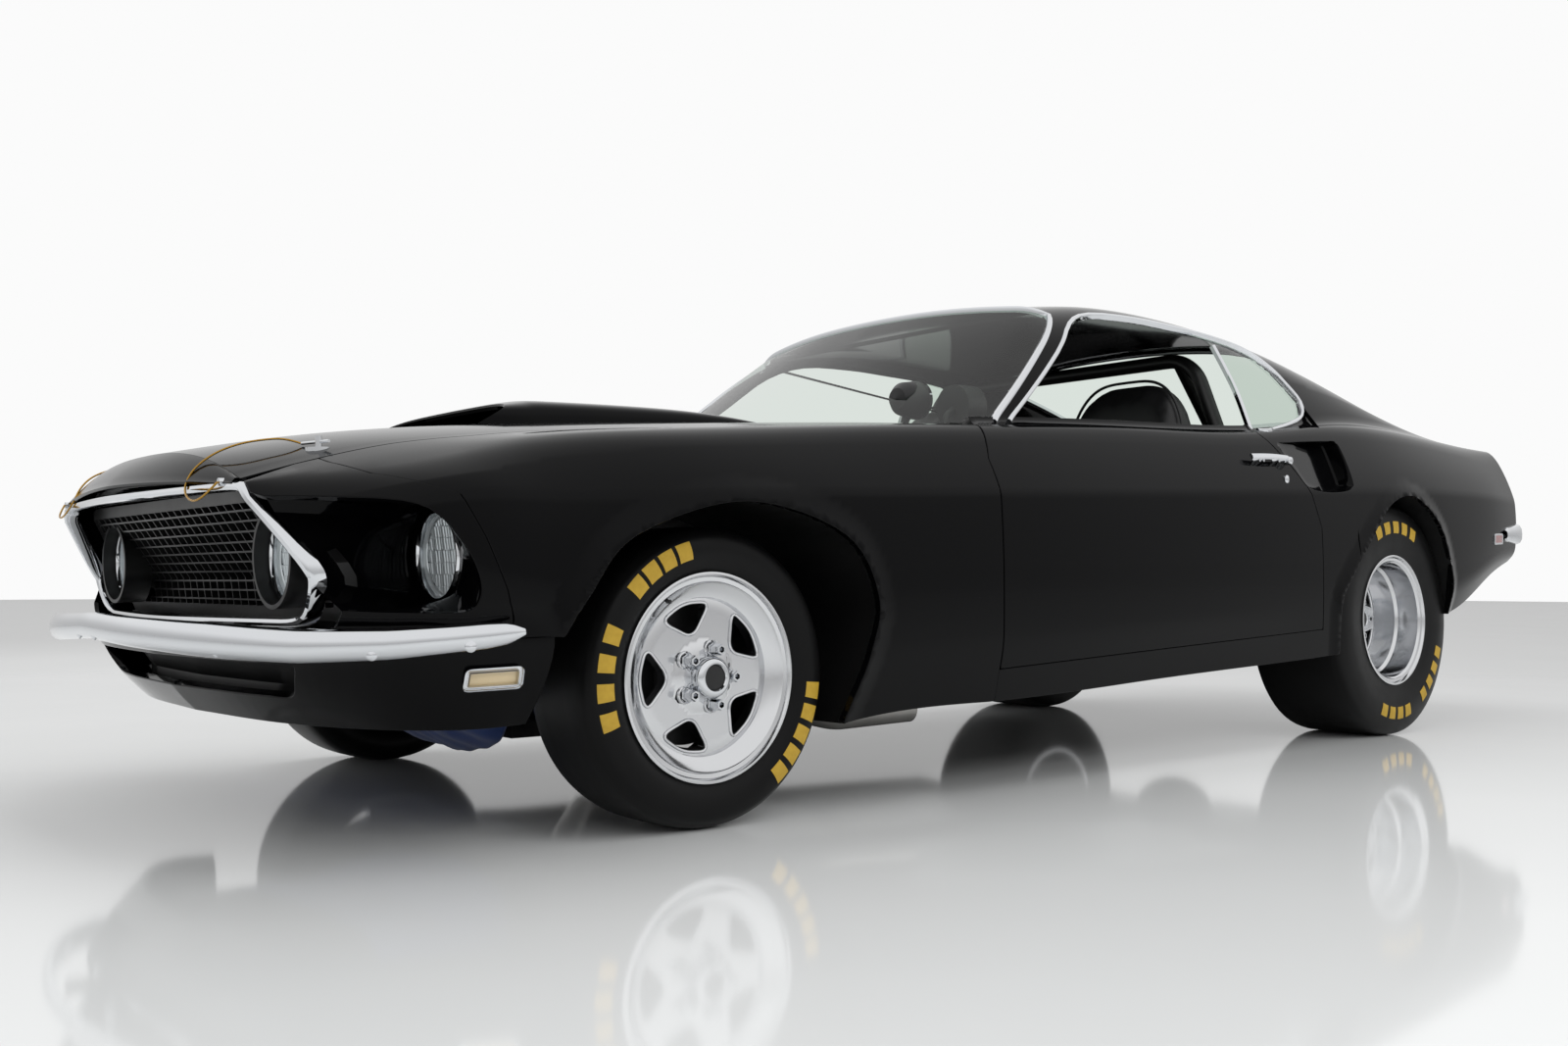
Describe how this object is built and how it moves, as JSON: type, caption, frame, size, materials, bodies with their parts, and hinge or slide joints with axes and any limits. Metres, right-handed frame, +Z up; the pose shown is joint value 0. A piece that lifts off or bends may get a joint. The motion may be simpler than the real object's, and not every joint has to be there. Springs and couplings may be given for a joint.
{
  "type": "fastback muscle car",
  "caption": "Black two-door fastback muscle car on polished five-window wheels, with hinged doors, hood, trunk lid, steered front wheels and rolling wheels.",
  "frame": {"origin": "on the floor, at the middle of the length and width", "axes": "+X forward to the nose, +Y to the left side, +Z up"},
  "size_m": [4.76, 1.812, 1.3199],
  "materials": {
    "amber_lens": "gloss",
    "black_paint": "gloss",
    "black_plastic": "matte",
    "black_vinyl": "satin",
    "blue_cloth": "matte",
    "brass_cable": "satin",
    "cast_steel": "rough",
    "chrome": "polished",
    "glass": "clear",
    "lamp_glass": "clear",
    "polished_aluminium": "polished",
    "red_lens": "gloss",
    "rubber": "matte",
    "satin_black": "satin"
  },
  "bodies": {
    "root": {"body_side_left": "black_paint", "body_side_right": "black_paint", "cowl_panel": "black_paint", "dashboard": "black_plastic", "driveline": "cast_steel", "engine_block": "cast_steel", "exhaust_pipes": "cast_steel", "fender_left": "black_paint", "fender_right": "black_paint", "floor_pan": "satin_black", "front_bumper": "chrome", "front_frame": "satin_black", "front_markers": "amber_lens", "front_suspension": "cast_steel", "front_valance": "black_paint", "fuel_tank": "cast_steel", "grille_mesh": "satin_black", "grille_surround": "chrome", "headlamp_extension_left": "black_paint", "headlamp_extension_right": "black_paint", "headlamps": "lamp_glass", "oil_diaper": "blue_cloth", "quarter_windows": "glass", "rear_axle": "cast_steel", "rear_bumper": "chrome", "rear_markers": "red_lens", "rear_window": "glass", "roll_cage": "satin_black", "roof_panel": "black_paint", "seats": "black_vinyl", "steering_wheel": "black_plastic", "tail_lamps": "red_lens", "tail_panel": "black_paint", "windshield": "glass"},
    "hood": {"hood_panel": "black_paint", "hood_pins": "chrome", "hood_scoop": "black_paint", "lanyard_left": "brass_cable", "lanyard_right": "brass_cable"},
    "trunk_lid_body": {"trunk_lid": "black_paint"},
    "door_left_body": {"door_left": "black_paint"},
    "door_right_body": {"door_right": "black_paint"},
    "knuckle_left_body": {"knuckle_left": "cast_steel"},
    "knuckle_right_body": {"knuckle_right": "cast_steel"},
    "running_front_left": {"tyre_front_left": "rubber", "wheel_front_left": "polished_aluminium"},
    "running_front_right": {"tyre_front_right": "rubber", "wheel_front_right": "polished_aluminium"},
    "running_rear_left": {"tyre_rear_left": "rubber", "wheel_rear_left": "polished_aluminium"},
    "running_rear_right": {"tyre_rear_right": "rubber", "wheel_rear_right": "polished_aluminium"}
  },
  "joints": [
    {"name": "hood_hinge", "type": "hinge", "parent": "root", "child": "hood", "pos_m": [0.67532, 0, 0.89902], "axis": [0, -1, 0], "range_deg": [0, 55]},
    {"name": "trunk_hinge", "type": "hinge", "parent": "root", "child": "trunk_lid_body", "pos_m": [-1.88967, 0, 1.07565], "axis": [0, 1, 0], "range_deg": [0, 70]},
    {"name": "door_left_hinge", "type": "hinge", "parent": "root", "child": "door_left_body", "pos_m": [0.65502, 0.888, 0.59158], "axis": [-0.04, 0, -0.9992], "range_deg": [0, 65]},
    {"name": "door_right_hinge", "type": "hinge", "parent": "root", "child": "door_right_body", "pos_m": [0.65502, -0.888, 0.59158], "axis": [0.04, 0, 0.9992], "range_deg": [0, 65]},
    {"name": "steer_left", "type": "hinge", "parent": "root", "child": "knuckle_left_body", "pos_m": [1.4336, 0.655, 0.298], "axis": [0, 0, 1], "range_deg": [-30, 30]},
    {"name": "steer_right", "type": "hinge", "parent": "root", "child": "knuckle_right_body", "pos_m": [1.4336, -0.655, 0.298], "axis": [0, 0, 1], "range_deg": [-30, 30]},
    {"name": "roll_front_left", "type": "hinge", "parent": "knuckle_left_body", "child": "running_front_left", "pos_m": [1.4336, 0.708, 0.298], "axis": [0, 1, 0], "continuous": true},
    {"name": "roll_front_right", "type": "hinge", "parent": "knuckle_right_body", "child": "running_front_right", "pos_m": [1.4336, -0.708, 0.298], "axis": [0, 1, 0], "continuous": true},
    {"name": "roll_rear_left", "type": "hinge", "parent": "root", "child": "running_rear_left", "pos_m": [-1.3096, 0.686, 0.37], "axis": [0, 1, 0], "continuous": true},
    {"name": "roll_rear_right", "type": "hinge", "parent": "root", "child": "running_rear_right", "pos_m": [-1.3096, -0.686, 0.37], "axis": [0, 1, 0], "continuous": true}
  ],
  "couplings": [
    {"joint": "steer_right", "follows": "steer_left", "ratio": 1}
  ]
}
